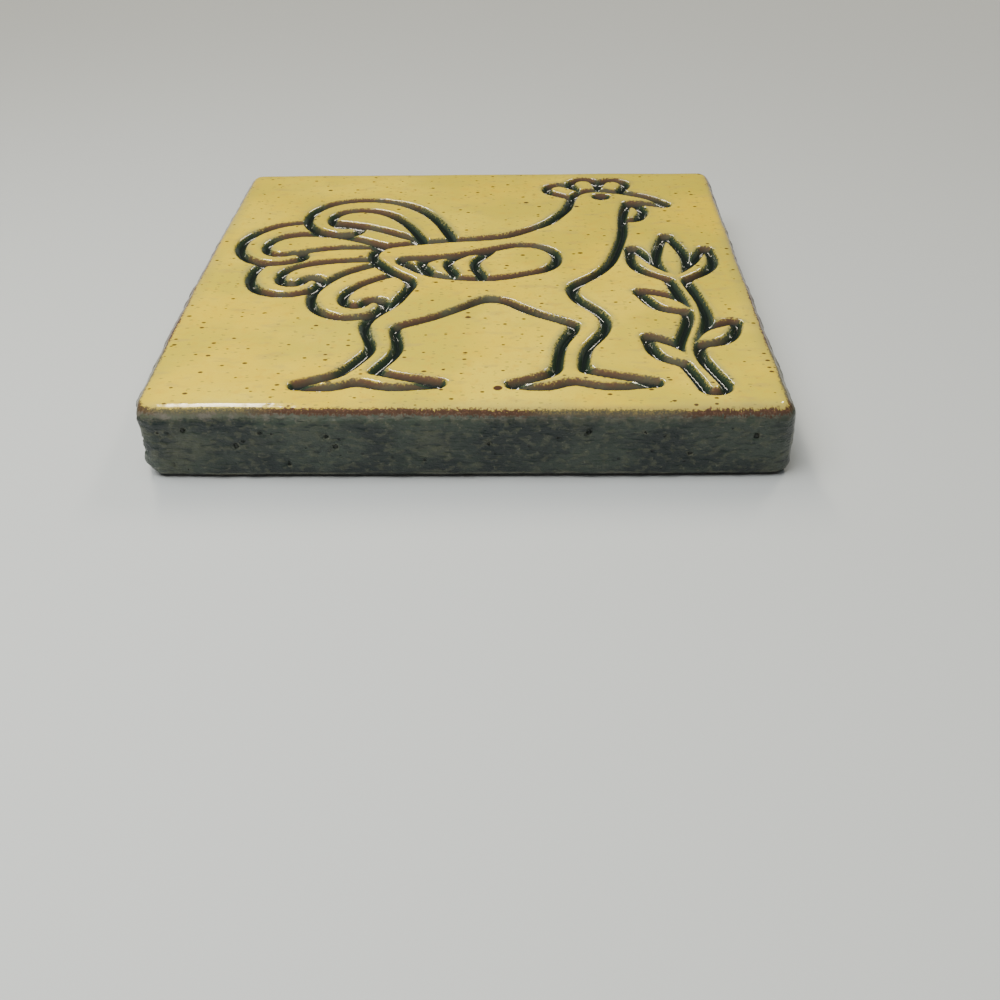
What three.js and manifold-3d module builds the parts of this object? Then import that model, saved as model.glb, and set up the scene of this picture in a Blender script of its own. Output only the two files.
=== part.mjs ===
// Square wall tile of glazed stoneware. Broad grooves in its face draw a cockerel beside a sprig.
// Millimetres. The glazed face looks up +Z, its lower edge is at -Y, and the origin is the centre
// of the flat back, where the tile is bedded on a wall.
import * as THREE from 'three';
import { mergeVertices } from 'three/addons/utils/BufferGeometryUtils.js';
import Module from 'manifold-3d';

const wasm = await Module();
wasm.setup();

// The slab, four inches a side
const SIDE = 101.6;
const THICKNESS = 12.2;

// Radii of the corners in plan, from the lower right one anticlockwise. The last is worn.
const CORNER_RADII = [3, 3, 3, 4.2];

// The face rolls over into the walls in a quarter of an ellipse, and so does the back
const ARRIS_WIDTH = 2.4;
const ARRIS_DROP = 2.9;
const FOOT_WIDTH = 1.4;
const FOOT_RISE = 2.15;

// How far the middle of each wall stands out, from the lower one anticlockwise
const WALL_BOWS = [0.3, -0.4, 0.2, 0.6];

// Bites out of the worn corner: height above the back, half height and depth of each
const CORNER_CHIPS = [[9.2, 1.2, 0.35], [7.4, 0.8, 0.8], [5.6, 0.7, 0.75], [0.7, 2.0, 1.6]];
// Radius of the bites in plan, and their way into the corner, turned from the left wall's way
const CHIP_RADIUS = 3.4;
const CHIP_TURN = THREE.MathUtils.degToRad(28);

// The groove that draws everything
const GROOVE_WIDTH = 2.3;
const GROOVE_FLOOR = 0.6;
const GROOVE_DEPTH = 1.2;
// The eye is a round pit, wider than the groove by this much
const EYE_EXTRA = 1.6;

// Plain border of the face. The picture has units of its own, and is scaled to fill the rest.
const MARGIN = 4.2;

// Fineness of the facets
const WALL_STEPS = 8;
const CORNER_STEPS = 4;
const FOOT_STEPS = 3;
const ARRIS_STEPS = 5;
const SPLINE_STEPS = 8;
const PLUME_STEPS = 36;
const TRACE_REACH = 60;
const TRACE_CELL = 1;
const TRACE_FLATNESS = 0.1;
const PIT_SIDES = 8;
const SHARP_TURN = THREE.MathUtils.degToRad(50);
const MOST_BEND = THREE.MathUtils.degToRad(150);

// Smallest plan radius left where a rounding reaches the whole corner
const LEAST_RADIUS = 0.3;
// How far a cutter stands above the face it cuts
const CUTTER_LIFT = 0.1;
const UP = new THREE.Vector3(0, 0, 1);


// Forms of the picture. Each is a field over the drawing, below zero inside the form. A limb is a
// smooth line through stations of x, y and half width, and its field is the distance to its skin.

function fieldAlong(samples) {
  return (x, y) => {
    let nearest = Infinity;
    for (let i = 1; i < samples.length; i++) {
      const a = samples[i - 1];
      const b = samples[i];
      const run = new THREE.Vector2(b.x - a.x, b.y - a.y);
      const along = ((x - a.x) * run.x + (y - a.y) * run.y) / run.lengthSq();
      const t = THREE.MathUtils.clamp(along, 0, 1);
      const gap = Math.hypot(x - a.x - t * run.x, y - a.y - t * run.y);
      nearest = Math.min(nearest, gap - THREE.MathUtils.lerp(a.z, b.z, t));
    }
    return nearest;
  };
}

function splinePoints(stations) {
  const knots = stations.map(([x, y, halfWidth = 0]) => new THREE.Vector3(x, y, halfWidth));
  const curve = new THREE.CatmullRomCurve3(knots, false, 'catmullrom', 0.5);
  return curve.getPoints(SPLINE_STEPS * (stations.length - 1));
}

function limb(...stations) {
  return fieldAlong(splinePoints(stations));
}

// Joins two fields with a fillet about as wide as soft
function blend(soft, first, second) {
  return (x, y) => {
    const a = first(x, y);
    const b = second(x, y);
    const share = THREE.MathUtils.clamp(0.5 + 0.5 * (b - a) / soft, 0, 1);
    return THREE.MathUtils.lerp(b, a, share) - soft * share * (1 - share);
  };
}

// A tail plume leaves x, y on a heading and curls by turn, tighter towards its tip
function plume(x, y, heading, length, turn, tightening) {
  const halfWidth = new THREE.QuadraticBezierCurve(
    new THREE.Vector2(0, 2.8), new THREE.Vector2(0.5, 3.7), new THREE.Vector2(1, 1.9)
  );
  const spine = [];
  for (let i = 0; i <= PLUME_STEPS; i++) {
    const t = i / PLUME_STEPS;
    spine.push(new THREE.Vector3(x, y, halfWidth.getPoint(t).y));
    const angle = THREE.MathUtils.degToRad(heading + turn * t ** tightening);
    x += Math.cos(angle) * length / PLUME_STEPS;
    y += Math.sin(angle) * length / PLUME_STEPS;
  }
  return fieldAlong(spine);
}

function foot(x, y) {
  const toe = limb([x, y, 2.0], [x + 6, y - 2.2, 1.9], [x + 13, y - 3.0, 0.5]);
  const spur = limb([x, y, 2.0], [x - 4, y - 2.4, 1.7], [x - 9, y - 3.2, 0.5]);
  return blend(1.0, toe, spur);
}

function cockerel() {
  const trunk = limb(
    [-15, 6, 5.0], [-8, 3.5, 9.0], [3, 1, 13.2], [12, 4, 12.8],
    [19.5, 14, 9.2], [23.5, 25, 6.4], [25.5, 34, 5.8]
  );
  const beak = limb([29.5, 35.5, 3.2], [34.5, 34, 1.9], [39, 31, 0.5]);
  const rearLeg = limb(
    [-3, -7, 8.0], [-9, -16, 5.0], [-15.5, -23, 2.9], [-14.5, -32, 2.2], [-18, -40.5, 2.1]
  );
  const foreLeg = limb(
    [9, -6, 8.0], [14, -15, 5.0], [20.5, -22.5, 2.9], [17.5, -31.5, 2.2], [16.5, -40.5, 2.1]
  );
  let form = blend(1.5, trunk, beak);
  form = blend(3.0, form, rearLeg);
  form = blend(3.0, form, foreLeg);
  form = blend(1.2, form, foot(-18, -40.5));
  return blend(1.2, form, foot(16.5, -40.5));
}

// Three lobes fanned round the crown of the head
function comb() {
  const lobes = [140, 104, 68].map((degrees) => {
    const angle = THREE.MathUtils.degToRad(degrees);
    const across = Math.cos(angle);
    const up = Math.sin(angle);
    return limb([25 + 4 * across, 34 + 4 * up, 2.4], [25 + 10.3 * across, 34 + 9.8 * up, 2.8]);
  });
  return lobes.reduce((form, lobe) => blend(1.0, form, lobe));
}

// A bent stem with three leaves and a bud of three petals
function sprig() {
  let form = limb([39, -44.5, 1.9], [36.5, -33, 1.7], [39.5, -20, 1.6], [37.5, -6, 1.5]);
  for (const [x, y, degrees, length] of [[37, -37, 128, 11], [38, -30, 44, 10], [39, -18, 140, 11]]) {
    const across = length * Math.cos(THREE.MathUtils.degToRad(degrees));
    const up = length * Math.sin(THREE.MathUtils.degToRad(degrees));
    const leaf = limb([x, y, 1.0], [x + 0.5 * across, y + 0.42 * up, 2.6], [x + across, y + up, 0.6]);
    form = blend(0.8, form, leaf);
  }
  for (const [degrees, length, halfWidth] of [[90, 19, 2.9], [126, 16, 2.1], [54, 16, 2.1]]) {
    const across = length * Math.cos(THREE.MathUtils.degToRad(degrees));
    const up = length * Math.sin(THREE.MathUtils.degToRad(degrees));
    const petal = limb(
      [37.5, -5, 1.6],
      [37.5 + 0.55 * across, -5 + 0.45 * up, halfWidth],
      [37.5 + 0.75 * across, -5 + up, 0.6]
    );
    form = blend(0.5, form, petal);
  }
  return form;
}


// Tracing. A form's outline is where its field is zero, found cell by cell over the drawing,
// which lies well inside the square that is searched.

function closedOutlines(field) {
  const count = Math.round(2 * TRACE_REACH / TRACE_CELL) + 1;
  const place = (index) => -TRACE_REACH + index * TRACE_CELL;
  const values = [];
  for (let row = 0; row < count; row++) {
    values.push(Array.from({ length: count }, (_, column) => field(place(column), place(row))));
  }
  const crossings = new Map();
  const following = new Map();
  // The point between two grid corners where the field passes zero, homed in on by chords.
  // The cells on both sides of an edge give it the same key.
  const cross = (columnIn, rowIn, columnOut, rowOut) => {
    const key = [columnIn + columnOut, rowIn + rowOut].join();
    const from = new THREE.Vector2(place(columnIn), place(rowIn));
    const to = new THREE.Vector2(place(columnOut), place(rowOut));
    const point = new THREE.Vector2();
    let low = { t: 0, value: values[rowIn][columnIn] };
    let high = { t: 1, value: values[rowOut][columnOut] };
    for (let pass = 0; pass < 4; pass++) {
      const t = THREE.MathUtils.lerp(low.t, high.t, low.value / (low.value - high.value));
      point.lerpVectors(from, to, t);
      const value = field(point.x, point.y);
      if ((value < 0) === (low.value < 0)) {
        low = { t, value };
      } else {
        high = { t, value };
      }
    }
    crossings.set(key, point);
    return key;
  };
  for (let row = 0; row + 1 < count; row++) {
    for (let column = 0; column + 1 < count; column++) {
      const corners = [[column, row], [column + 1, row], [column + 1, row + 1], [column, row + 1]];
      const inside = corners.map(([c, r]) => values[r][c] < 0);
      const entries = [];
      const exits = [];
      for (let i = 0; i < 4; i++) {
        const j = (i + 1) % 4;
        if (inside[i] && !inside[j]) {
          exits.push(cross(...corners[i], ...corners[j]));
        }
        if (!inside[i] && inside[j]) {
          entries.push(cross(...corners[i], ...corners[j]));
        }
      }
      exits.forEach((key, i) => following.set(key, entries[i]));
    }
  }
  const loops = [];
  while (following.size) {
    const loop = [];
    let key = following.keys().next().value;
    while (following.has(key)) {
      loop.push(crossings.get(key));
      const next = following.get(key);
      following.delete(key);
      key = next;
    }
    loops.push(loop);
  }
  return loops;
}

// Keeps only the points that the outline's shape needs
function thinned(points) {
  const [first, last] = [points[0], points[points.length - 1]];
  const chord = new THREE.Line3(
    new THREE.Vector3(first.x, first.y, 0), new THREE.Vector3(last.x, last.y, 0)
  );
  const nearest = new THREE.Vector3();
  let farthest = 0;
  let worst = 0;
  for (let i = 1; i + 1 < points.length; i++) {
    const point = new THREE.Vector3(points[i].x, points[i].y, 0);
    const gap = chord.closestPointToPoint(point, true, nearest).distanceTo(point);
    if (gap > worst) {
      worst = gap;
      farthest = i;
    }
  }
  if (worst <= TRACE_FLATNESS) {
    return [first, last];
  }
  return [...thinned(points.slice(0, farthest + 1)).slice(0, -1), ...thinned(points.slice(farthest))];
}

// The stretches of a form's outline that no form in front of it hides
function strokesOf(field, formsInFront) {
  const strokes = [];
  for (const loop of closedOutlines(field)) {
    const shows = loop.map((point) => formsInFront.every((front) => front(point.x, point.y) > 0));
    const start = shows.indexOf(false);
    if (start < 0) {
      strokes.push(thinned([...loop, loop[0]]));
      continue;
    }
    let stretch = [];
    for (let i = 1; i <= loop.length; i++) {
      const index = (start + i) % loop.length;
      if (shows[index]) {
        stretch.push(loop[index]);
      } else {
        if (stretch.length > 1) {
          strokes.push(thinned(stretch));
        }
        stretch = [];
      }
    }
  }
  return strokes;
}

// Every line of the picture as a list of points, in drawing units
function pictureStrokes() {
  const wattle = limb([30.5, 32, 1.5], [32, 28, 2.3], [31.3, 25, 2.1]);
  const plumes = [
    plume(-7, 11, 108, 52, 275, 2.2),
    plume(-12, 10, 146, 52, 262, 2.5),
    plume(-16, 7, 180, 42, 268, 2.6),
    plume(-14, 2, 214, 33, 232, 2.6),
  ];
  const wing = limb([9, 4, 6.6], [2, 1.5, 6.2], [-6, 1, 4.2], [-13.5, 3.5, 1.0]);
  const frontToBack = [cockerel(), comb(), wattle, ...plumes, sprig()];
  const strokes = frontToBack.flatMap((form, depth) => strokesOf(form, frontToBack.slice(0, depth)));
  strokes.push(...strokesOf(wing, []));
  for (const shift of [0, 5, 10]) {
    const barb = [[2.5 - shift, 7.5 - 0.24 * shift], [-0.2 - shift, 2.5], [1.3 - shift, 0.24 * shift - 3.6]];
    strokes.push(thinned(splinePoints(barb).map(({ x, y }) => new THREE.Vector2(x, y))));
  }
  return strokes;
}


// Solids

function asSolid(geometry) {
  const bare = geometry.clone();
  bare.deleteAttribute('normal');
  bare.deleteAttribute('uv');
  const merged = mergeVertices(bare);
  return new wasm.Manifold(new wasm.Mesh({
    numProp: 3,
    vertProperties: new Float32Array(merged.attributes.position.array),
    triVerts: new Uint32Array(merged.index.array),
  }));
}

function asGeometry(solid) {
  const { numProp, vertProperties, triVerts } = solid.getMesh();
  const geometry = new THREE.BufferGeometry();
  geometry.setAttribute('position', new THREE.BufferAttribute(vertProperties, numProp));
  geometry.setIndex(new THREE.BufferAttribute(triVerts, 1));
  return geometry;
}

// Skins a stack of rings that all have the same number of points, and closes both ends
function loft(rings) {
  const count = rings[0].length;
  const middle = (ring) => ring.reduce((sum, p) => sum.add(p), new THREE.Vector3()).divideScalar(count);
  const points = [...rings.flat(), middle(rings[0]), middle(rings[rings.length - 1])];
  const lastRing = (rings.length - 1) * count;
  const triangles = [];
  for (let i = 0; i < count; i++) {
    const j = (i + 1) % count;
    for (let base = 0; base < lastRing; base += count) {
      triangles.push(base + i, base + j, base + count + j);
      triangles.push(base + i, base + count + j, base + count + i);
    }
    triangles.push(points.length - 2, j, i);
    triangles.push(points.length - 1, lastRing + i, lastRing + j);
  }
  const geometry = new THREE.BufferGeometry().setFromPoints(points);
  geometry.setIndex(triangles);
  return geometry;
}

// Plan outline of the slab at height z, drawn in from the walls by inset
function outlineRing(inset, z) {
  const wall = SIDE / 2 - inset;
  const radii = CORNER_RADII.map((radius) => Math.max(radius - inset, LEAST_RADIUS));
  return WALL_BOWS.flatMap((bow, side) => {
    const [radius, radiusBefore] = [radii[side], radii.at(side - 1)];
    const points = [];
    for (let i = 0; i < WALL_STEPS; i++) {
      const x = THREE.MathUtils.lerp(radiusBefore - wall, wall - radius, i / WALL_STEPS);
      points.push(new THREE.Vector3(x, -wall - bow * (1 - (x / wall) ** 2), z));
    }
    for (let i = 0; i < CORNER_STEPS; i++) {
      const angle = Math.PI / 2 * (i / CORNER_STEPS - 1);
      const outward = new THREE.Vector3(Math.cos(angle), Math.sin(angle), 0);
      points.push(new THREE.Vector3(wall - radius, radius - wall, z).addScaledVector(outward, radius));
    }
    return points.map((point) => point.applyAxisAngle(UP, side * Math.PI / 2));
  });
}

function slab() {
  const rings = [];
  for (let i = 0; i <= FOOT_STEPS; i++) {
    const angle = Math.PI / 2 * i / FOOT_STEPS;
    rings.push(outlineRing(FOOT_WIDTH * (1 - Math.sin(angle)), FOOT_RISE * (1 - Math.cos(angle))));
  }
  for (let i = 0; i <= ARRIS_STEPS; i++) {
    const angle = Math.PI / 2 * i / ARRIS_STEPS;
    const z = THICKNESS - ARRIS_DROP * (1 - Math.sin(angle));
    rings.push(outlineRing(ARRIS_WIDTH * (1 - Math.cos(angle)), z));
  }
  return asSolid(loft(rings));
}

const grooveSpread = (GROOVE_WIDTH - GROOVE_FLOOR) / GROOVE_DEPTH;
const floorHeight = THICKNESS - GROOVE_DEPTH;
const brimHeight = THICKNESS + CUTTER_LIFT;
const brimWidth = GROOVE_WIDTH + grooveSpread * CUTTER_LIFT;

// Section of the groove cutter at a point, square to the stroke or mitred
function grooveSection(point, across) {
  const corner = (width, z) => new THREE.Vector3(
    point.x + across.x * width / 2, point.y + across.y * width / 2, z
  );
  return [
    corner(-GROOVE_FLOOR, floorHeight), corner(GROOVE_FLOOR, floorHeight),
    corner(brimWidth, brimHeight), corner(-brimWidth, brimHeight),
  ];
}

// A round pit that ends a stroke or turns a sharp corner
function pit(point, extraWidth = 0) {
  const height = brimHeight - floorHeight;
  const top = (brimWidth + extraWidth) / 2;
  const bottom = (GROOVE_FLOOR + extraWidth) / 2;
  const geometry = new THREE.CylinderGeometry(top, bottom, height, PIT_SIDES);
  geometry.rotateX(Math.PI / 2);
  geometry.translate(point.x, point.y, floorHeight + height / 2);
  return asSolid(geometry);
}

// Cutters for one stroke. Spans that bend gently into each other make one trough with mitred joints.
// A round pit joins two troughs at a sharp corner, and where a trough could curl round to meet itself.
function strokeCutters(points) {
  const last = points.length - 1;
  const spans = points.slice(1).map((point, i) => point.clone().sub(points[i]));
  const crosswise = (direction) => new THREE.Vector2(-direction.y, direction.x).normalize();
  const cutters = [pit(points[0])];
  let sections = [grooveSection(points[0], crosswise(spans[0]))];
  let bend = 0;
  for (let i = 1; i < last; i++) {
    const [before, after] = [spans[i - 1], spans[i]];
    const turn = before.angleTo(after);
    bend += turn * Math.sign(before.cross(after));
    const folds = brimWidth * Math.tan(turn / 2) > Math.min(before.length(), after.length());
    if (turn > SHARP_TURN || folds || Math.abs(bend) > MOST_BEND) {
      sections.push(grooveSection(points[i], crosswise(before)));
      cutters.push(asSolid(loft(sections)), pit(points[i]));
      sections = [grooveSection(points[i], crosswise(after))];
      bend = 0;
    } else {
      const middle = before.clone().normalize().add(after.clone().normalize());
      sections.push(grooveSection(points[i], crosswise(middle).divideScalar(Math.cos(turn / 2))));
    }
  }
  sections.push(grooveSection(points[last], crosswise(spans[last - 1])));
  cutters.push(asSolid(loft(sections)));
  if (points[last].distanceTo(points[0]) > TRACE_FLATNESS) {
    cutters.push(pit(points[last]));
  }
  return cutters;
}

// Cutters for the whole picture, centred on the face and scaled to leave the margin bare
function pictureCutters() {
  const strokes = pictureStrokes();
  const box = new THREE.Box2().setFromPoints(strokes.flat());
  const size = box.getSize(new THREE.Vector2());
  const middle = box.getCenter(new THREE.Vector2());
  const scale = (SIDE - 2 * MARGIN - GROOVE_WIDTH) / Math.max(size.x, size.y);
  const onFace = (point) => point.clone().sub(middle).multiplyScalar(scale);
  const eye = pit(onFace(new THREE.Vector2(26, 36)), EYE_EXTRA);
  return [eye, ...strokes.flatMap((stroke) => strokeCutters(stroke.map(onFace)))];
}

// Ragged bites down the worn corner, left when the clay was cut
function chipCutters() {
  const radius = CORNER_RADII.at(-1);
  const corner = -SIDE / 2 + radius;
  return CORNER_CHIPS.map(([height, halfHeight, depth]) => {
    const reach = radius + CHIP_RADIUS - depth;
    const chip = new THREE.IcosahedronGeometry(1, 3);
    chip.scale(CHIP_RADIUS, CHIP_RADIUS, halfHeight);
    chip.translate(corner - reach * Math.cos(CHIP_TURN), corner - reach * Math.sin(CHIP_TURN), height);
    return asSolid(chip);
  });
}


// The tile

function tileMesh() {
  const cutters = wasm.Manifold.union([...pictureCutters(), ...chipCutters()]);
  // The cut can leave flakes of no thickness, so only the largest piece is the tile
  const pieces = slab().subtract(cutters).decompose();
  const tile = pieces.reduce((largest, piece) => (piece.volume() > largest.volume() ? piece : largest));
  const glaze = new THREE.MeshStandardMaterial({ color: '#cdbb7d', roughness: 0.15, metalness: 0 });
  const mesh = new THREE.Mesh(asGeometry(tile), glaze);
  mesh.name = 'tile';
  return mesh;
}

const group = new THREE.Group();
group.add(tileMesh());

export default group;
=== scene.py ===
import math
import random

import bpy
import numpy as np
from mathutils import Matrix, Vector, noise


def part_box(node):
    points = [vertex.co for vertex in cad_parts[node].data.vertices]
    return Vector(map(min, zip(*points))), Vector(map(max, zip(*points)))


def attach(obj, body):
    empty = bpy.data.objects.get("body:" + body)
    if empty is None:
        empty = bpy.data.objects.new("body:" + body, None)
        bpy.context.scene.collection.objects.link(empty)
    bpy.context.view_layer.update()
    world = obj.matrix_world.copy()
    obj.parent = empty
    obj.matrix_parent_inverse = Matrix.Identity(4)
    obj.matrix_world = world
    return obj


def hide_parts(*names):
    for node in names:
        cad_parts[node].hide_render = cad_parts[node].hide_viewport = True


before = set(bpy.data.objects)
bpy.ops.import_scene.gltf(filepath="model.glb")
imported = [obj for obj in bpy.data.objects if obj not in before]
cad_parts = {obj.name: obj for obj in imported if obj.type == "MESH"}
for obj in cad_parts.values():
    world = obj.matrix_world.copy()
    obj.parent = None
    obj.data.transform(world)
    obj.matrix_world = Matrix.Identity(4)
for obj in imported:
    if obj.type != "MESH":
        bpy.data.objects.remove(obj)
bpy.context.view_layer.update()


# The tile's picture: a cockerel beside a sprig, drawn in one broad groove with a round bottom. It was
# cut into the damp clay, so every line has the same width and depth and soft lips. The forms are
# fields in drawing units, about a millimetre each, that are below zero inside a form.

COCKEREL_STANCE = (-18, -40.5), (16.5, -40.5)
HEAD = (25, 34)
COMB_LOBES = (140, 104, 68)
STEM_TOP = (37.5, -5)
LEAVES = ((37, -37, 128, 11), (38, -30, 44, 10), (39, -18, 140, 11))
PETALS = ((90, 19, 2.9), (126, 16, 2.1), (54, 16, 2.1))
PLUMES = ((-7, 11, 108, 52, 275, 2.2), (-12, 10, 146, 52, 262, 2.5),
          (-16, 7, 180, 42, 268, 2.6), (-14, 2, 214, 33, 232, 2.6))
BARB_SHIFTS = (0, 5, 10)
EYE = (26, 36, 0.8)


def field_along(samples):
    """Distance to a line that thickens and thins: samples of x, y and half width"""
    samples = np.array(samples, float)

    def field(x, y):
        nearest = np.full(x.shape, np.inf)
        for (ax, ay, a_width), (bx, by, b_width) in zip(samples[:-1], samples[1:]):
            run_x, run_y = bx - ax, by - ay
            along = ((x - ax) * run_x + (y - ay) * run_y) / (run_x ** 2 + run_y ** 2)
            along = np.clip(along, 0.0, 1.0)
            gap = np.hypot(x - ax - along * run_x, y - ay - along * run_y)
            nearest = np.minimum(nearest, gap - a_width - along * (b_width - a_width))
        return nearest

    return field


def limb(*stations, steps=8):
    """A form along a smooth curve through its stations"""
    knots = [np.array((station + (0.0,))[:3], float) for station in stations]
    knots = [2 * knots[0] - knots[1]] + knots + [2 * knots[-1] - knots[-2]]
    samples = []
    for a, b, c, d in zip(knots, knots[1:], knots[2:], knots[3:]):
        for t in np.arange(steps) / steps:
            bend = (2 * a - 5 * b + 4 * c - d) * t ** 2 + (3 * b - a - 3 * c + d) * t ** 3
            samples.append(b + 0.5 * ((c - a) * t + bend))
    return field_along(samples + [knots[-2]])


def blend(soft, first, second):
    """Joins two forms with a fillet about as wide as soft"""
    def field(x, y):
        a, b = first(x, y), second(x, y)
        share = np.clip(0.5 + 0.5 * (b - a) / soft, 0.0, 1.0)
        return b + (a - b) * share - soft * share * (1 - share)

    return field


def plume(x, y, heading, length, turn, tightening, steps=36):
    """A tail plume that leaves x, y on a heading and curls, tighter towards its tip"""
    root, belly, tip = 2.8, 3.7, 1.9
    spine = []
    for i in range(steps + 1):
        t = i / steps
        spine.append((x, y, (1 - t) ** 2 * root + 2 * t * (1 - t) * belly + t ** 2 * tip))
        angle = math.radians(heading + turn * t ** tightening)
        x += math.cos(angle) * length / steps
        y += math.sin(angle) * length / steps
    return field_along(spine)


def foot(x, y):
    toe = limb((x, y, 2.0), (x + 6, y - 2.2, 1.9), (x + 13, y - 3.0, 0.5))
    spur = limb((x, y, 2.0), (x - 4, y - 2.4, 1.7), (x - 9, y - 3.2, 0.5))
    return blend(1.0, toe, spur)


def cockerel():
    form = limb((-15, 6, 5.0), (-8, 3.5, 9.0), (3, 1, 13.2), (12, 4, 12.8),
                (19.5, 14, 9.2), (23.5, 25, 6.4), (25.5, 34, 5.8))
    beak = limb((29.5, 35.5, 3.2), (34.5, 34, 1.9), (39, 31, 0.5))
    rear_foot, fore_foot = COCKEREL_STANCE
    rear_leg = limb((-3, -7, 8.0), (-9, -16, 5.0), (-15.5, -23, 2.9), (-14.5, -32, 2.2),
                    (*rear_foot, 2.1))
    fore_leg = limb((9, -6, 8.0), (14, -15, 5.0), (20.5, -22.5, 2.9), (17.5, -31.5, 2.2),
                    (*fore_foot, 2.1))
    form = blend(1.5, form, beak)
    form = blend(3.0, form, rear_leg)
    form = blend(3.0, form, fore_leg)
    form = blend(1.2, form, foot(*rear_foot))
    return blend(1.2, form, foot(*fore_foot))


def comb():
    """Three lobes fanned round the crown of the head"""
    x, y = HEAD
    lobes = []
    for degrees in COMB_LOBES:
        across, up = math.cos(math.radians(degrees)), math.sin(math.radians(degrees))
        lobes.append(limb((x + 4 * across, y + 4 * up, 2.4), (x + 10.3 * across, y + 9.8 * up, 2.8)))
    return blend(1.0, blend(1.0, lobes[0], lobes[1]), lobes[2])


def sprig():
    """A bent stem with three leaves and a bud of three petals"""
    form = limb((39, -44.5, 1.9), (36.5, -33, 1.7), (39.5, -20, 1.6), (37.5, -6, 1.5))
    for x, y, degrees, length in LEAVES:
        across = length * math.cos(math.radians(degrees))
        up = length * math.sin(math.radians(degrees))
        leaf = limb((x, y, 1.0), (x + 0.5 * across, y + 0.42 * up, 2.6), (x + across, y + up, 0.6))
        form = blend(0.8, form, leaf)
    x, y = STEM_TOP
    for degrees, length, half_width in PETALS:
        across = length * math.cos(math.radians(degrees))
        up = length * math.sin(math.radians(degrees))
        petal = limb((x, y, 1.6), (x + 0.55 * across, y + 0.45 * up, half_width),
                     (x + 0.75 * across, y + up, 0.6))
        form = blend(0.5, form, petal)
    return form


def line_gap(x, y):
    """Distance from each point of the drawing to the middle of the nearest line that shows"""
    wattle = limb((30.5, 32, 1.5), (32, 28, 2.3), (31.3, 25, 2.1))
    plumes = [plume(*sizes) for sizes in PLUMES]
    nearest = np.full(x.shape, np.inf)
    in_front = np.full(x.shape, np.inf)
    for form in [cockerel(), comb(), wattle, *plumes, sprig()]:
        value = form(x, y)
        nearest = np.minimum(nearest, np.where(in_front > 0, abs(value), np.inf))
        in_front = np.minimum(in_front, value)
    wing = limb((9, 4, 6.6), (2, 1.5, 6.2), (-6, 1, 4.2), (-13.5, 3.5, 1.0))
    nearest = np.minimum(nearest, abs(wing(x, y)))
    for shift in BARB_SHIFTS:
        barb = limb((2.5 - shift, 7.5 - 0.24 * shift), (-0.2 - shift, 2.5),
                    (1.3 - shift, 0.24 * shift - 3.6))
        nearest = np.minimum(nearest, barb(x, y))
    eye_x, eye_y, eye_extra = EYE
    eye = np.hypot(x - eye_x, y - eye_y) - eye_extra
    return np.minimum(nearest, np.maximum(eye, 0.0))


# The tile itself, one pressed and fired slab of stoneware about four inches square. The glaze ran off
# its rounded edges and lies thick in the grooves, and the lower left corner tore when it was cut free.

MM = 0.001
low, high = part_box("tile")
THICKNESS = (high[2] - low[2]) / MM
LOWER_BOW, RIGHT_BOW, UPPER_BOW, LEFT_BOW = 0.3, -0.4, 0.2, 0.6
HALF_SIDE = ((high[0] - low[0]) / MM - LEFT_BOW) / 2
CORNER_RADIUS = 3.0
WORN_CORNER_RADIUS = 4.2
ARRIS_WIDTH, ARRIS_DROP = 2.4, 2.9
FOOT_WIDTH, FOOT_RISE = 1.4, 2.15
GROOVE_WIDTH = 2.3
GROOVE_DEPTH = 1.2
BEAD_HEIGHT, BEAD_WIDTH = 0.025, 0.6
MARGIN = 4.2
DRAWING_SPAN = 92.67
DRAWING_MIDDLE = (-0.47, -0.07)
DRAWING_WAVER = 0.25
FACE_SWELL, FACE_RIPPLE = 0.05, 0.02
WALL_LUMP, WALL_CRUMB, EDGE_WAVE = 0.2, 0.12, 0.22
PIT_DEPTH = 0.4
FRONT_PITS = ((-42.4, 9.0, 0.6), (-46.6, 8.2, 0.5), (-34.8, 6.2, 0.75), (-33.6, 6.8, 0.5),
              (-30.7, 8.4, 0.6), (-27.0, 2.8, 0.5), (-20.8, 8.0, 0.6), (-19.5, 6.0, 0.65),
              (19.2, 8.4, 0.7), (14.6, 7.4, 0.4), (34.6, 4.4, 0.6), (44.6, 7.6, 0.7),
              (4.0, 6.6, 0.5), (-6.0, 3.4, 0.5), (27.6, 8.2, 0.45))
OTHER_PITS = 90
PIT_HEIGHTS = (2.5, 10.0)
PIT_RADII = (0.2, 0.5)
FAR_FROM_LINES = 9.0
FACE_CELLS = 248
ARRIS_ROWS, WALL_ROWS, FOOT_ROWS = 10, 15, 6

random.seed(11)


def smooth(value, start, end):
    t = np.clip((value - start) / (end - start), 0.0, 1.0)
    return t * t * (3 - 2 * t)


def wander(points, size, place):
    """Smooth random values, about -1 to 1, that change over size millimetres"""
    offset = Vector((place, 2.3 * place, 5.1 * place))
    return np.array([noise.noise(Vector(point) / size + offset) for point in points])


def corner_start(x, y):
    """How far from the middle the round of the nearest corner starts"""
    return HALF_SIDE - np.where((x < 0) & (y < 0), WORN_CORNER_RADIUS, CORNER_RADIUS)


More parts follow.
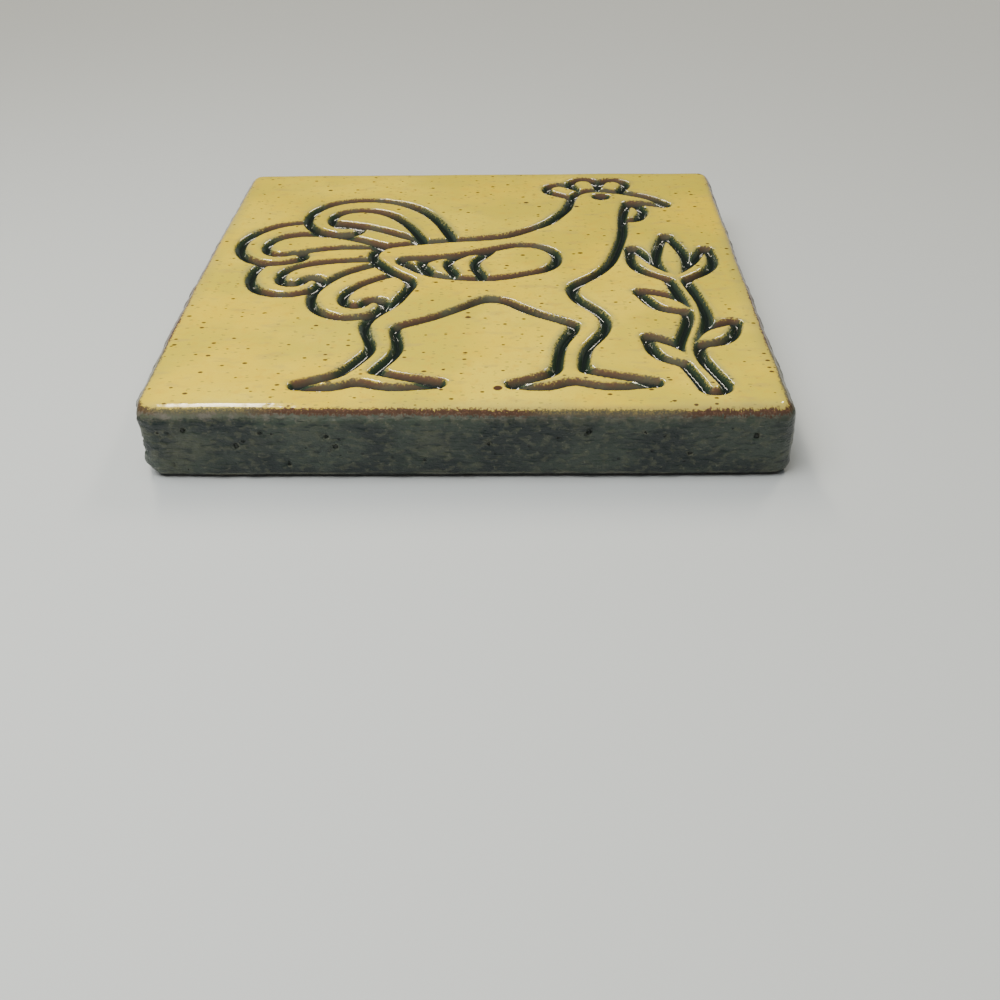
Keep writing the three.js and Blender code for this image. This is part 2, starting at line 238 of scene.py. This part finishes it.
# The flat of the face as a square of cells, its corners squeezed to a round
flat_half = HALF_SIDE - ARRIS_WIDTH
steps = np.linspace(-flat_half, flat_half, FACE_CELLS + 1)
face_x, face_y = np.meshgrid(steps, steps)
start = corner_start(face_x, face_y)
past_x = np.maximum(abs(face_x) - start, 0.0)
past_y = np.maximum(abs(face_y) - start, 0.0)
squeeze = np.maximum(past_x, past_y) / np.maximum(np.hypot(past_x, past_y), 1e-9)
in_corner = (past_x > 0) & (past_y > 0)
face_fall = np.maximum(abs(face_x), abs(face_y)) - flat_half
face_x = np.where(in_corner, np.sign(face_x) * (start + past_x * squeeze), face_x)
face_y = np.where(in_corner, np.sign(face_y) * (start + past_y * squeeze), face_y)

# The rim of that square, anticlockwise from its lower left corner, and the way out from it
number = np.arange((FACE_CELLS + 1) ** 2).reshape(FACE_CELLS + 1, FACE_CELLS + 1)
rim = np.concatenate([number[0, :-1], number[:-1, -1], number[-1, :0:-1], number[:0:-1, 0]])
rim_x, rim_y = face_x.ravel()[rim], face_y.ravel()[rim]
out_x = np.sign(rim_x) * np.maximum(abs(rim_x) - corner_start(rim_x, rim_y), 0.0)
out_y = np.sign(rim_y) * np.maximum(abs(rim_y) - corner_start(rim_x, rim_y), 0.0)
out_length = np.hypot(out_x, out_y)
out_x, out_y = out_x / out_length, out_y / out_length

# Rows down from the rim: how far each is drawn in, its height, and how far it lies down the skin
section = []
for i in range(ARRIS_ROWS + 1):
    angle = math.pi / 2 * (1 - i / ARRIS_ROWS)
    section.append((ARRIS_WIDTH * (1 - math.cos(angle)),
                    THICKNESS - ARRIS_DROP * (1 - math.sin(angle))))
wall_height = THICKNESS - ARRIS_DROP - FOOT_RISE
for i in range(1, WALL_ROWS + 1):
    section.append((0.0, THICKNESS - ARRIS_DROP - wall_height * i / WALL_ROWS))
for i in range(1, FOOT_ROWS + 1):
    angle = math.pi / 2 * i / FOOT_ROWS
    section.append((FOOT_WIDTH * (1 - math.cos(angle)), FOOT_RISE * (1 - math.sin(angle))))
rows = []
down_skin = 0.0
for (inset_before, height_before), (inset, height) in zip(section, section[1:]):
    down_skin += math.hypot(inset - inset_before, height - height_before)
    rows.append((inset, height, down_skin))

skirt_x = np.concatenate([rim_x + out_x * (ARRIS_WIDTH - inset) for inset, _, _ in rows])
skirt_y = np.concatenate([rim_y + out_y * (ARRIS_WIDTH - inset) for inset, _, _ in rows])
skirt_z = np.repeat([height for _, height, _ in rows], len(rim))
skirt_fall = np.repeat([down_skin for _, _, down_skin in rows], len(rim))

# Each wall stands out a little in its middle
x = np.concatenate([face_x.ravel(), skirt_x])
y = np.concatenate([face_y.ravel(), skirt_y])
z = np.concatenate([np.full(face_x.size, THICKNESS), skirt_z])
fall = np.concatenate([face_fall.ravel(), skirt_fall])
reach_x, reach_y = np.clip(x / HALF_SIDE, -1, 1), np.clip(y / HALF_SIDE, -1, 1)
bow_x = np.where(x > 0, RIGHT_BOW, -LEFT_BOW) * reach_x ** 8 * (1 - reach_y ** 2)
bow_y = np.where(y > 0, UPPER_BOW, -LOWER_BOW) * reach_y ** 8 * (1 - reach_x ** 2)
x, y = x + bow_x, y + bow_y

# Carving: the groove's section is round at the bottom and softens into its lips
face_count = face_x.size
scale = (2 * HALF_SIDE - 2 * MARGIN - GROOVE_WIDTH) / DRAWING_SPAN
face_points = np.stack([x[:face_count], y[:face_count], np.zeros(face_count)], axis=1)
drawn_x = x[:face_count] / scale + DRAWING_MIDDLE[0] + DRAWING_WAVER * wander(face_points, 9.0, 7)
drawn_y = y[:face_count] / scale + DRAWING_MIDDLE[1] + DRAWING_WAVER * wander(face_points, 9.0, 8)
gap = line_gap(drawn_x, drawn_y) * scale
gap *= 1 + 0.16 * wander(face_points, 7.0, 1)
depth = GROOVE_DEPTH * (1 - smooth(gap, 0.06 * GROOVE_WIDTH / 2, 1.16 * GROOVE_WIDTH / 2))
bead = BEAD_HEIGHT * np.exp(-((gap - 0.75 * GROOVE_WIDTH) / BEAD_WIDTH) ** 2)
swell = FACE_SWELL * wander(face_points, 14.0, 2) + FACE_RIPPLE * wander(face_points, 4.0, 3)
z[:face_count] += bead + swell * smooth(-fall[:face_count], 0.0, 3.0) - depth

# Which side of its line a point lies on: 1 towards the upper edge, -1 towards the lower, 0 beside it
cell = 2 * flat_half / FACE_CELLS
uphill = np.clip(np.gradient(gap.reshape(face_x.shape), cell, axis=0).ravel(), -1, 1)
uphill = np.concatenate([uphill, np.zeros(len(skirt_x))])
gap = np.concatenate([gap, np.full(len(skirt_x), FAR_FROM_LINES)])
along = np.where(abs(y) > abs(x), x, y)

# The walls are a little lumpy, and pitted where bubbles broke in the glaze
skirt = slice(face_count, None)
skirt_points = np.stack([x[skirt], y[skirt], z[skirt]], axis=1)
on_wall = smooth(fall[skirt], 0.4, 3.0) * smooth(z[skirt], 0.0, 1.5)
lumps = WALL_LUMP * wander(skirt_points, 2.6, 4) + WALL_CRUMB * wander(skirt_points, 1.2, 5)
edge_wave = EDGE_WAVE * wander(skirt_points, 11.0, 6) * smooth(z[skirt], 0.0, 1.5)
push = lumps * on_wall + edge_wave
pits = [(across, -HALF_SIDE - LOWER_BOW * (1 - (across / HALF_SIDE) ** 2), up, radius)
        for across, up, radius in FRONT_PITS]
for i in range(OTHER_PITS):
    across = random.uniform(-0.95, 0.95) * HALF_SIDE
    side = random.choice((-HALF_SIDE, HALF_SIDE))
    wall_x, wall_y = random.choice(((across, side), (side, across)))
    pits.append((wall_x, wall_y, random.uniform(*PIT_HEIGHTS), random.uniform(*PIT_RADII)))
pit = np.zeros(len(skirt_x))
for pit_x, pit_y, pit_z, radius in pits:
    away = np.linalg.norm((skirt_points - (pit_x, pit_y, pit_z)) * (1, 1, 1.15), axis=1)
    pit = np.maximum(pit, 1 - smooth(away, 0.3 * radius, 1.3 * radius))
push -= PIT_DEPTH * pit
skirt_out_x, skirt_out_y = np.tile(out_x, len(rows)), np.tile(out_y, len(rows))
x[skirt] += skirt_out_x * push
y[skirt] += skirt_out_y * push
pit = np.concatenate([np.zeros(face_count), pit])

# The places of the large pits of the lower wall, round each of which a pale rim is painted as a
# painted highlight
broken_bubbles = []
for pit_x, pit_y, pit_z, radius in pits[:len(FRONT_PITS)]:
    nearest = face_count + np.argmin(np.linalg.norm(skirt_points - (pit_x, pit_y, pit_z), axis=1))
    middle = tuple(float(part) * MM for part in (x[nearest], y[nearest], z[nearest]))
    broken_bubbles.append((middle, radius))

# Bites out of the worn corner: height, half height and depth of each. What a bite covers is pushed
# inwards, along a way that is turned from the left wall's towards the lower wall's.
CORNER_CHIPS = ((7.5, 9.0, 1.35), (7.0, 0.9, 1.9), (4.8, 1.0, 2.3), (0.6, 1.9, 3.2))
CHIP_RADIUS = 4.8
CHIP_TURN = math.radians(14)
way_x, way_y = math.cos(CHIP_TURN), math.sin(CHIP_TURN)
for height, half_height, depth in CORNER_CHIPS:
    reach = WORN_CORNER_RADIUS + CHIP_RADIUS - depth
    from_x = x + HALF_SIDE - WORN_CORNER_RADIUS + reach * way_x
    from_y = y + HALF_SIDE - WORN_CORNER_RADIUS + reach * way_y
    from_z = (z - height) * CHIP_RADIUS / half_height
    inward = from_x * way_x + from_y * way_y
    across_squared = from_x ** 2 + from_y ** 2 + from_z ** 2 - inward ** 2
    bite = np.sqrt(np.maximum(CHIP_RADIUS ** 2 - across_squared, 0.0)) - inward
    bitten = (across_squared < CHIP_RADIUS ** 2) & (x < 0) & (y < 0)
    bite = np.where(bitten, np.maximum(bite, 0.0), 0.0)
    x += bite * way_x
    y += bite * way_y

# Faces: the cells of the face, the rows of the skirt, and the whole back as one
corners = [number[:-1, :-1], number[:-1, 1:], number[1:, 1:], number[1:, :-1]]
faces = [np.stack(corners, axis=-1).reshape(-1, 4)]
upper_ring = rim
for i in range(len(rows)):
    lower_ring = face_count + i * len(rim) + np.arange(len(rim))
    faces.append(np.stack([upper_ring, lower_ring, np.roll(lower_ring, -1), np.roll(upper_ring, -1)],
                          axis=1))
    upper_ring = lower_ring
faces = np.concatenate(faces).tolist() + [lower_ring[::-1].tolist()]

tile_mesh = bpy.data.meshes.new("glazed_tile")
tile_mesh.from_pydata(np.stack([x, y, z], axis=1) * MM, [], faces)
measures = {"line_gap": gap, "uphill": uphill, "fall": fall, "along": along, "pit": pit}
for name, values in measures.items():
    layer = tile_mesh.attributes.new(name, "FLOAT", "POINT")
    layer.data.foreach_set("value", values.astype(np.float32))
tile_mesh.polygons.foreach_set("use_smooth", [True] * (len(faces) - 1) + [False])
tile_mesh.update()
tile = bpy.data.objects.new("glazed_tile", tile_mesh)
bpy.context.scene.collection.objects.link(tile)


class Amount:
    """A number that varies over a surface, so that sums on it are written as plain arithmetic"""

    def __init__(self, recipe, socket):
        self.recipe = recipe
        self.socket = socket

    def maths(self, operation, *values):
        return self.recipe.node("Math", {"operation": operation}, dict(enumerate(values)))

    def __add__(self, other):
        return self.maths("ADD", self, other)

    def __sub__(self, other):
        return self.maths("SUBTRACT", self, other)

    def __rsub__(self, other):
        return self.maths("SUBTRACT", other, self)

    def __mul__(self, other):
        return self.maths("MULTIPLY", self, other)

    def __truediv__(self, other):
        return self.maths("DIVIDE", self, other)

    def larger(self, other):
        return self.maths("MAXIMUM", self, other)

    def between(self, start, end):
        """0 at start and 1 at end, with a smooth change, also where start is the larger"""
        return self.recipe.node("MapRange", {"interpolation_type": "SMOOTHSTEP"},
                                {"Value": self, "From Min": start, "From Max": end})

    __radd__ = __add__
    __rmul__ = __mul__


class Recipe:
    """A material, built up from patterns and colours"""

    def __init__(self, name):
        self.material = bpy.data.materials.new(name)
        self.material.use_nodes = True
        self.tree = self.material.node_tree
        self.shader = self.tree.nodes["Principled BSDF"]
        self.place = self.node("TexCoord", output="Object")

    def feed(self, socket, value):
        if isinstance(value, Amount):
            self.tree.links.new(value.socket, socket)
        else:
            socket.default_value = value

    def node(self, kind, settings={}, sockets={}, output=0):
        """A node of a kind, with its settings first and then its sockets' values or links"""
        node = self.tree.nodes.new("ShaderNode" + kind)
        for name, value in settings.items():
            setattr(node, name, value)
        for key, value in sockets.items():
            self.feed(node.inputs[key], value)
        return Amount(self, node.outputs[output])

    def measure(self, name):
        """A value that each point of the mesh carries"""
        return self.node("Attribute", {"attribute_name": name}, output="Fac")

    def distance_to(self, point):
        return self.node("VectorMath", {"operation": "DISTANCE"}, {0: self.place, 1: point},
                         output="Value")

    def scaled_place(self, factors, shift):
        """The place on the object, scaled for a pattern and moved along in it"""
        return self.node("VectorMath", {"operation": "MULTIPLY_ADD"},
                         {0: self.place, 1: factors, 2: (shift,) * 3})

    def grain(self, size, detail=2.0, stretch=(1, 1, 1), shift=0.0):
        """Soft noise from 0 to 1 whose patches are about size millimetres"""
        place = self.scaled_place(tuple(1 / (MM * size * part) for part in stretch), shift)
        return self.node("TexNoise", {}, {"Vector": place, "Scale": 1.0, "Detail": detail})

    def dots(self, spacing, radius, share, shift=0.0, flat=True, stretch=1.0):
        """Scattered dots, up to radius millimetres, in a share of the cells of a spacing"""
        factors = (1 / (MM * spacing * stretch), 1 / (MM * spacing), 1 / (MM * spacing))
        cells = {"Vector": self.scaled_place(factors, shift), "Scale": 1.0}
        settings = {"voronoi_dimensions": "2D" if flat else "3D"}
        away = self.node("TexVoronoi", settings, cells, output="Distance")
        tint = self.node("TexVoronoi", settings, cells, output="Color")
        chance = self.node("SeparateColor", {}, {0: tint})
        reach = (chance - (1 - share)) * (radius / spacing / share)
        return (reach - away).between(0.0, 0.35 * radius / spacing)

    def paint(self, mask, under, over):
        """Lays the colour over on the colour under, where the mask says"""
        return self.node("Mix", {"data_type": "RGBA"}, {0: mask, 6: under, 7: over}, output=2)

    def shape(self, height, distance):
        """Fine relief in the finish, in metres"""
        return self.node("Bump", {}, {"Height": height, "Distance": distance, "Strength": 1.0})


def colour(red, green, blue):
    """A colour as a screen shows it, 0 to 255, turned into the light that it reflects"""
    levels = [level / 255 for level in (red, green, blue)]
    return tuple(c / 12.92 if c <= 0.04045 else ((c + 0.055) / 1.055) ** 2.4 for c in levels) + (1.0,)


OCHRE = colour(222, 191, 30)
PALE_OCHRE = colour(226, 200, 54)
WARM_OCHRE = colour(208, 164, 26)
KHAKI = colour(196, 178, 50)
DUN = colour(170, 150, 82)
OLIVE = colour(126, 118, 66)
GREY_GREEN = colour(128, 132, 92)
BOTTLE_GREEN = colour(46, 60, 42)
POOL_AND_SHADE_BLACK = colour(16, 24, 19)
UMBER = colour(82, 64, 46)
DARK_UMBER = colour(44, 38, 30)
DULL_GREEN = colour(92, 94, 70)
RUST = colour(101, 71, 50)
IRON = colour(70, 48, 32)
WALL_GREEN = colour(54, 64, 54)
WALL_DARK = colour(28, 38, 36)
WALL_OLIVE = colour(80, 83, 64)
WALL_PALE = colour(114, 114, 96)
ASH = colour(98, 92, 80)
CLAY = colour(150, 112, 84)
DARK_CLAY = colour(112, 82, 62)
IRON_SPOT = (0.0053, -0.0441, 0.0122)
IRON_SPOT_RIM = (0.85, 0.6)

# Where each glaze gives way to the next, in millimetres down the skin from the flat of the face: the
# distance at which it is gone and that at which it is whole. From the hem on these are heights, and
# the dark below the hem is painted shade.
OCHRE_ENDS = (1.5, 1.1)
THIN_BAND_ENDS = (2.4, 1.9)
RUST_ENDS = (2.6, 2.1)
BLOOM_ENDS = (3.9, 2.4)
WALL_BEGINS = (1.6, 3.2)
PAINTED_SHADE_HEM = (1.0 * MM, 0.8 * MM)
PALE_LINE_FOOT, PALE_LINE_HEAD = (0.7 * MM, 0.85 * MM), (1.2 * MM, 1.05 * MM)
BARE_CLAY = (0.3 * MM, 0.05 * MM)
RUN_WIDTH, RUN_LENGTH = 0.35, 2.5
RELIEF = 0.12 * MM

glaze = Recipe("running_ochre_glaze")
to_line = glaze.measure("line_gap")
uphill = glaze.measure("uphill")
below = glaze.measure("fall")
beside = glaze.measure("along")
pitted = glaze.measure("pit")
height = glaze.node("SeparateXYZ", {}, {0: glaze.place}, output="Z")

# Ochre, cloudy over centimetres and flecked with iron from the clay
cloud = glaze.grain(16.0, 3.0)
mottle = glaze.grain(1.6, 3.0, shift=7.0)
hair = glaze.grain(0.36, 2.0, shift=3.0)
ochre = glaze.paint(cloud.between(0.35, 0.7), OCHRE, PALE_OCHRE)
ochre = glaze.paint(glaze.grain(24.0, 3.0, shift=21.0).between(0.4, 0.6) * 0.8, ochre, KHAKI)
ochre = glaze.paint(hair.between(0.5, 0.75) * 0.3, ochre, WARM_OCHRE)
ochre = glaze.paint(mottle.between(0.5, 0.8) * 0.45, ochre, WARM_OCHRE)
smudges = glaze.grain(1.8, 4.0, (2.4, 1, 1), 23.0)
ochre = glaze.paint(smudges.between(0.55, 0.7) * 0.35, ochre, DUN)
ochre = glaze.paint(below.between(-2.0, 0.6) * cloud.between(0.3, 0.6) * 0.3, ochre, GREY_GREEN)
ochre = glaze.paint(below.between(0.3, 1.3) * 0.55, ochre, DUN)
flecks = glaze.dots(1.0, 0.26, 0.5, 1.0, stretch=1.7) * 0.6
ochre = glaze.paint(flecks, ochre, OLIVE)
small_specks = glaze.dots(2.3, 0.36, 0.5, 5.0, stretch=1.4)
large_specks = glaze.dots(8.0, 0.5, 0.6, 17.0, stretch=1.3)
ochre = glaze.paint(small_specks.larger(large_specks) * 0.95, ochre, IRON)
ochre = glaze.paint((glaze.distance_to(IRON_SPOT) / MM).between(*IRON_SPOT_RIM), ochre, IRON)

# Green pools in the grooves. From the upper lips it creeps out in fine hairs, and the lower are crisp.
fringe = cloud.between(0.3, 0.75)
upper = uphill.between(-0.4, 0.4)
to_pool = to_line + (hair - 0.5) * (0.25 + upper * (0.45 + fringe * 1.2))
# Groove walls that face the lower edge, which are painted brown below, partly as painted reflection
faces_lower_edge = uphill.between(0.45, 0.9)
halo = to_pool.between(2.6, 1.1) * (0.3 + fringe * 0.5) * upper * (1 - faces_lower_edge * 0.6)
pool = to_pool.between(1.35, 0.85)
green = glaze.paint(to_line.between(0.9, 0.2), BOTTLE_GREEN, POOL_AND_SHADE_BLACK)
face = glaze.paint(halo, ochre, GREY_GREEN)
face = glaze.paint(pool, face, green)

# Groove walls that face the lower edge are painted brown, rust at the lip and dark umber low down:
# partly the glaze's brown, partly painted reflection
patchy = glaze.grain(6.0, 2.0, shift=11.0)
grit = glaze.grain(0.5, 3.0, shift=13.0)
brown_and_reflection = glaze.paint(patchy.between(0.35, 0.65) * (0.4 + grit * 0.5), UMBER, DULL_GREEN)
brown_and_reflection = glaze.paint(to_line.between(0.5, 0.95) * patchy.between(0.65, 0.45) * (0.5 + grit * 0.5),
                   brown_and_reflection, RUST)
brown_and_reflection = glaze.paint(to_line.between(0.8, 0.2), brown_and_reflection, DARK_UMBER)
face = glaze.paint(faces_lower_edge * to_pool.between(0.1, 0.35) * to_pool.between(1.5, 1.0) * 0.92, face, brown_and_reflection)

# The walls are dark green with olive clouds and pale crumbs, below a rusty edge
mottled = glaze.grain(1.0, 5.0, (1.5, 1.5, 1), 2.0)
clouds = glaze.grain(6.0, 4.0, (1.5, 1.5, 1), 8.0)
wall = glaze.paint(clouds.between(0.42, 0.6), WALL_GREEN, WALL_DARK)
wall = glaze.paint(glaze.grain(10.0, 4.0, shift=25.0).between(0.52, 0.64) * 0.45, wall, WALL_OLIVE)
wall = glaze.paint(mottled.between(0.5, 0.62) * 0.6, wall, WALL_OLIVE)
crumbs = glaze.grain(0.4, 3.0, shift=9.0).between(0.6, 0.72) * mottled.between(0.4, 0.6)
wall = glaze.paint(crumbs * 0.6, wall, WALL_PALE)
smears = glaze.grain(1.1, 3.0, (2.2, 2.2, 0.55), 6.0)
wall = glaze.paint(smears.between(0.46, 0.34) * 0.85, wall, WALL_DARK)

# Painted highlight and shade on the pits: a pale rim round each large pit, and the holes painted near
# black
holes = glaze.dots(1.7, 0.3, 0.35, 4.0, flat=False)
for middle, radius in broken_bubbles:
    away = glaze.distance_to(middle) / (0.8 * radius * MM) + (grit - 0.5) * 1.2
    wall = glaze.paint(away.between(1.5, 1.0) * mottled.between(0.4, 0.6) * 0.5, wall, WALL_PALE)
    holes = holes.larger(away.between(0.85, 0.5))
wall = glaze.paint(pitted.between(0.6, 1.0).larger(holes) * 0.9, wall, POOL_AND_SHADE_BLACK)

# Down the rounded edge: ochre, then rust in places, a thin olive band and an ashy bloom on the green
down = glaze.node("CombineXYZ", {}, {0: beside / RUN_WIDTH, 1: below / RUN_LENGTH})
runs = glaze.node("TexNoise", {}, {"Vector": down, "Scale": 1.0, "Detail": 3.0})
waves = glaze.grain(9.0, 2.0, shift=15.0)
edge = (below + (runs - 0.5) * (0.6 + 1.6 * beside.between(33.0, 43.0)) + (hair - 0.5) * 1.7
        + (waves - 0.5) * 0.8 + beside.between(20.0, -25.0) * 0.45)
bloom = glaze.paint(mottled.between(0.4, 0.6), WALL_OLIVE, ASH)
blooming = 0.4 + 0.45 * beside.between(-22.0, -34.0)
skin = glaze.paint(edge.between(*BLOOM_ENDS) * blooming, wall, bloom)
thin_band = glaze.paint(hair.between(0.45, 0.6), WALL_OLIVE, OLIVE)
skin = glaze.paint(edge.between(*THIN_BAND_ENDS) * 0.85, skin, thin_band)
rusty = glaze.paint(hair.between(0.48, 0.72), IRON, RUST)
rusting = (glaze.grain(7.0, 2.0, shift=19.0).between(0.15, 0.35)
           * (0.25 + 0.75 * beside.between(-36.0, -26.0) + 0.5 * beside.between(-45.5, -48.5))
           * (1 - 0.6 * beside.between(8.0, 14.0) * beside.between(36.0, 31.0)))
skin = glaze.paint(edge.between(*RUST_ENDS) * rusting, skin, rusty)
skin = glaze.paint(edge.between(*OCHRE_ENDS), skin, face)

# Low on the foot a thin pale line in patches, and below it the foot painted near black: painted shade
# where the tile meets the floor
hem = height + (runs - 0.5) * (0.5 * MM) + (waves - 0.5) * (0.6 * MM)
skin = glaze.paint(hem.between(*PAINTED_SHADE_HEM), skin, POOL_AND_SHADE_BLACK)
pale_line = hem.between(*PALE_LINE_FOOT) * hem.between(*PALE_LINE_HEAD)
skin = glaze.paint(pale_line * patchy.between(0.4, 0.6) * 0.8, skin, WALL_PALE)

# The back is bare clay
bare = height.between(*BARE_CLAY)
skin = glaze.paint(bare, skin, glaze.paint(glaze.grain(4.0, 4.0), CLAY, DARK_CLAY))

glaze.feed(glaze.shader.inputs["Base Color"], skin)
on_walls = below.between(*WALL_BEGINS)
rough = 0.08 + on_walls * (0.14 + mottle * 0.25) + bare * 0.5
glaze.feed(glaze.shader.inputs["Roughness"], rough)
glaze.shader.inputs["IOR"].default_value = 1.5
relief = (glaze.grain(2.4, 1.0) * 0.35 + hair * (0.03 + on_walls * 0.8)
          + (mottled + smears) * on_walls * 3.0 - holes * on_walls * 2.0
          + bare * glaze.grain(0.6, 4.0) * 2.0)
glaze.feed(glaze.shader.inputs["Normal"], glaze.shape(relief, RELIEF))
tile_mesh.materials.append(glaze.material)

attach(tile, "root")
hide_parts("tile")


# A plain pale floor, wide enough to fill the view. It stands for the cloth that the tile lies on, and
# is no part of the tile.
FLOOR_HALF = 1.5
FLOOR_GREY = colour(188, 191, 188)
floor_mesh = bpy.data.meshes.new("floor")
floor_mesh.from_pydata([(-FLOOR_HALF, -FLOOR_HALF, 0), (FLOOR_HALF, -FLOOR_HALF, 0),
                        (FLOOR_HALF, FLOOR_HALF, 0), (-FLOOR_HALF, FLOOR_HALF, 0)], [], [(0, 1, 2, 3)])
floor = bpy.data.objects.new("floor", floor_mesh)
bpy.context.scene.collection.objects.link(floor)
cloth = Recipe("pale_floor")
cloth.shader.inputs["Base Color"].default_value = FLOOR_GREY
cloth.shader.inputs["Roughness"].default_value = 0.9
floor_mesh.materials.append(cloth.material)


# Soft light from overhead, which the glaze doesn't mirror. Of two narrow lamps high at the back, the
# left draws the bright line on the tile's edge, and the right the glint at its corner.
WARM_WHITE = (1.0, 0.92, 0.78)
STRIP_LAMPS = (("left_strip", (-0.358, 0.667, 0.945), (0.11, 0.75), 8.6),
               ("right_glint", (0.5, 0.72, 0.85), (0.15, 0.4), 5.0))
SOFTBOX_SPREAD = math.radians(115)


def lamp(name, place, size, watts, aim):
    light = bpy.data.lights.new(name, "AREA")
    light.shape = "RECTANGLE"
    light.size, light.size_y = size
    light.energy = watts
    holder = bpy.data.objects.new(name, light)
    holder.location = place
    holder.rotation_euler = (Vector(aim) - Vector(place)).to_track_quat("-Z", "Y").to_euler()
    bpy.context.scene.collection.objects.link(holder)
    return holder, light


softbox, softbox_light = lamp("softbox", (-0.14, -0.12, 0.36), (0.3, 0.3), 1.05, (-0.05, -0.14, 0.0))
softbox.visible_glossy = False
softbox_light.spread = SOFTBOX_SPREAD
for name, place, size, watts in STRIP_LAMPS:
    _, strip_light = lamp(name, place, size, watts, (place[0], 0.0, 0.0))
    strip_light.color = WARM_WHITE

# The room is pale at the horizon and overhead, and dim between, so the face doesn't mirror a pale wall
HORIZON, MIDWAY, OVERHEAD = (0.55, 0.57, 0.6, 1.0), (0.1, 0.105, 0.11, 1.0), (0.9, 0.95, 1.0, 1.0)
world = bpy.data.worlds.new("room")
world.use_nodes = True
sky = world.node_tree.nodes
up = sky.new("ShaderNodeSeparateXYZ")
ramp = sky.new("ShaderNodeValToRGB")
ramp.color_ramp.elements[0].color = HORIZON
ramp.color_ramp.elements[0].position = 0.1
ramp.color_ramp.elements[1].color = OVERHEAD
ramp.color_ramp.elements.new(0.4).color = MIDWAY
link = world.node_tree.links.new
link(sky.new("ShaderNodeTexCoord").outputs["Generated"], up.inputs[0])
link(up.outputs["Z"], ramp.inputs["Fac"])
link(ramp.outputs["Color"], sky["Background"].inputs["Color"])
sky["Background"].inputs["Strength"].default_value = 0.5
bpy.context.scene.world = world


# The camera stands low in front of the lower edge, as for the photograph. Its place is in metres, from
# the middle of the tile, and its turn in degrees.
CAMERA_PLACE = (0.0085, -0.19508, 0.08818 + THICKNESS * MM)
CAMERA_TURN = (54.057, 0.682, 0.688)
camera = bpy.data.objects.new("camera", bpy.data.cameras.new("camera"))
camera.data.lens = 40.67
camera.data.sensor_width = 36.0
camera.location = CAMERA_PLACE
camera.rotation_euler = [math.radians(angle) for angle in CAMERA_TURN]
bpy.context.scene.collection.objects.link(camera)
bpy.context.scene.camera = camera
